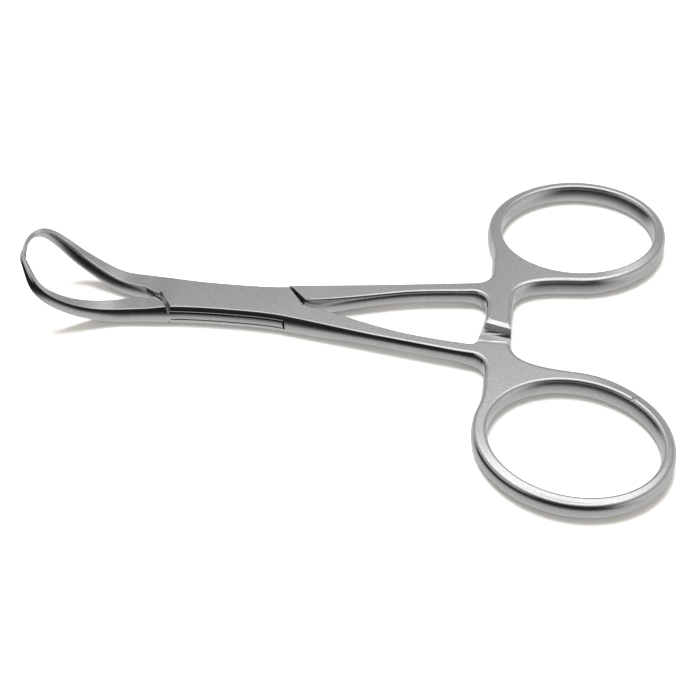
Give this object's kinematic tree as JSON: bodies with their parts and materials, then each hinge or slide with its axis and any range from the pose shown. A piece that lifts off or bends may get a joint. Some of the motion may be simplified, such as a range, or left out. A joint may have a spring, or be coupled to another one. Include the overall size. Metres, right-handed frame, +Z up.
{
  "type": "towel clamp",
  "caption": "Ring-handled surgical towel clamp with a box lock, ratchet arms and up-curved pointed tines that cross at their tips.",
  "frame": {"origin": "on the pivot axis, at the underside of the box lock, which the clamp rests on", "axes": "+X along the clamp from the pivot to the finger rings, so the points are at -X; +Z up, along the pivot axis, toward the points' rise; +Y toward the male half's ring"},
  "size_m": [0.1081, 0.0714, 0.013],
  "materials": {
    "satin_steel": "satin"
  },
  "bodies": {
    "female_body": {"female_half": "satin_steel", "pivot_pin": "satin_steel"},
    "male_body": {"male_half": "satin_steel"}
  },
  "joints": [
    {"name": "box_lock_pivot", "type": "hinge", "parent": "female_body", "child": "male_body", "pos_m": [0, 0, 0], "axis": [0, 0, 1], "range_deg": [0, 45]}
  ]
}
